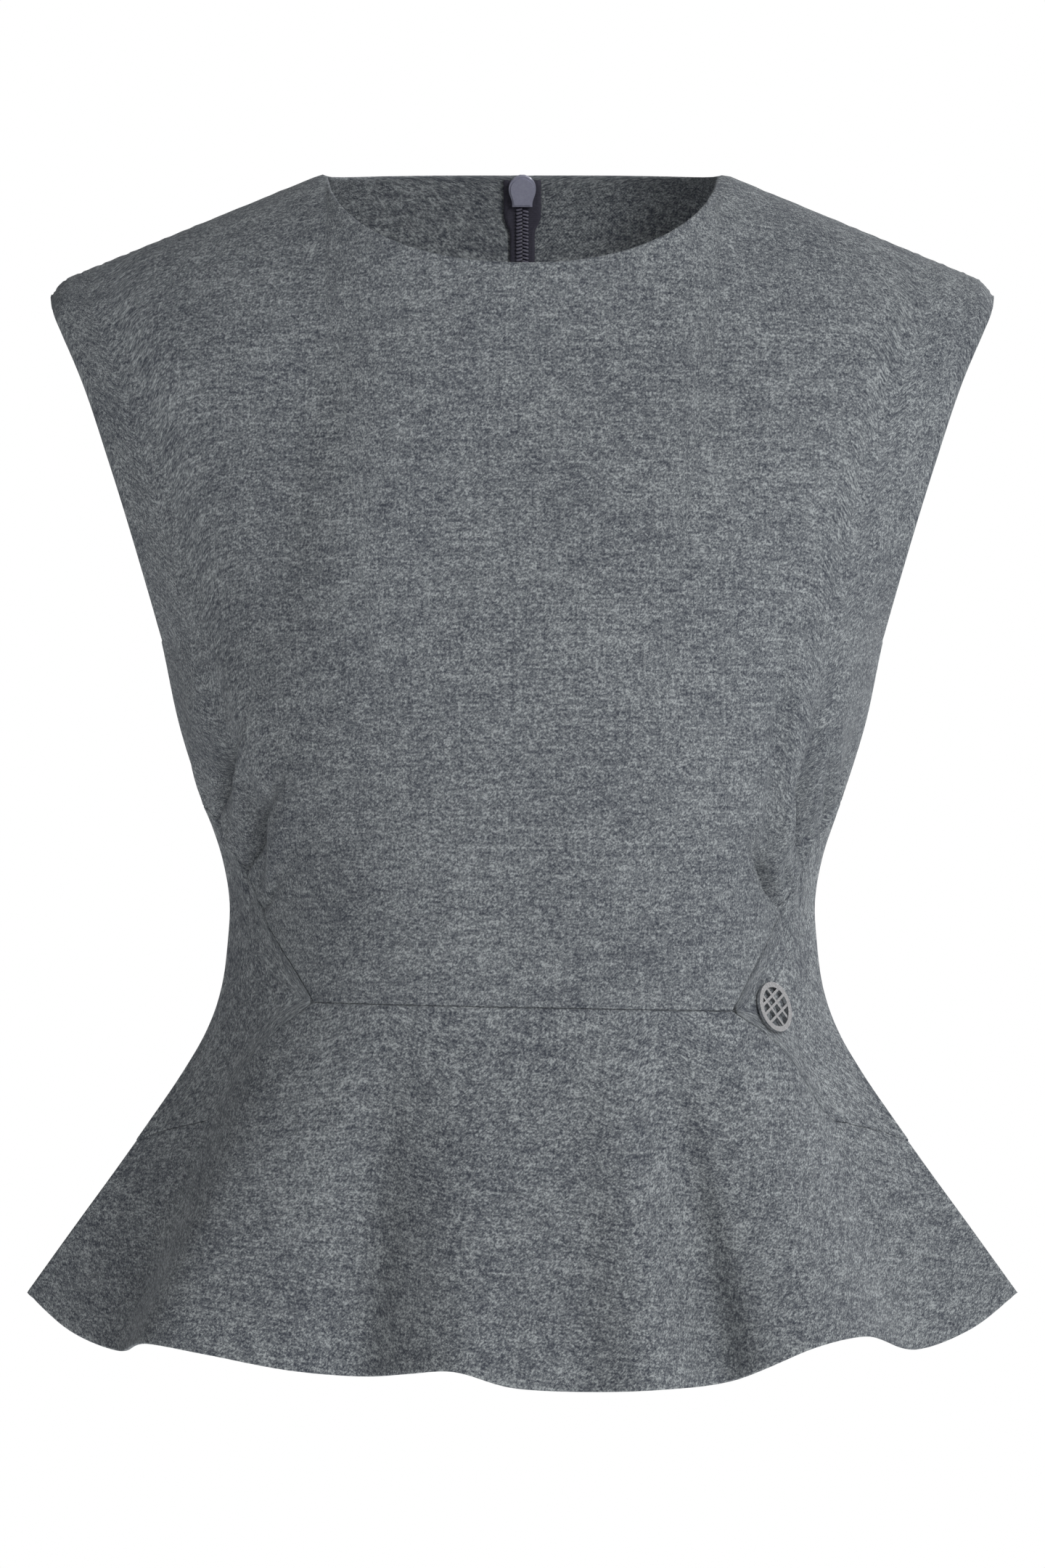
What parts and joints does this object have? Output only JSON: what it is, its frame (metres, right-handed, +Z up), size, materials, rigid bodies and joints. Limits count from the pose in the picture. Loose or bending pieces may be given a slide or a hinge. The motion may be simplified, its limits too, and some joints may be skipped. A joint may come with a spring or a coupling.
{
  "type": "flannel top",
  "caption": "Sleeveless wool-flannel peplum top, filled out as worn, with wide shoulders, side insets, concealed back zip and a round openwork badge.",
  "frame": {"origin": "on the centre line at the level where the shoulder seams meet the neckline, where the wearer's neck and shoulders hold the top", "axes": "+X to the wearer's left, +Y to the back, +Z up"},
  "size_m": [0.4726, 0.3391, 0.5737],
  "materials": {
    "flannel": "milled melange grey wool flannel, matte with a short nap",
    "zip_tape": "fine woven polyester tape",
    "zip_chain": "nylon coil teeth",
    "slider_enamel": "satin lacquered metal",
    "badge_metal": "polished silver-coloured metal"
  },
  "bodies": {
    "top": {"bodice_front": "flannel", "bodice_back_left": "flannel", "bodice_back_right": "flannel", "side_inset_left": "flannel", "side_inset_right": "flannel", "peplum_front": "flannel", "peplum_back_left": "flannel", "peplum_back_right": "flannel", "zip_tape_left": "zip_tape", "zip_tape_right": "zip_tape", "zip_chain": "zip_chain", "zip_slider": "slider_enamel", "badge": "badge_metal"},
    "pull": {"zip_pull": "slider_enamel"}
  },
  "joints": [
    {"name": "pull_hinge", "type": "hinge", "parent": "top", "child": "pull", "pos_m": [0, 0.06669, -0.00122], "axis": [1, 0, 0], "range_deg": [0, 150]}
  ]
}
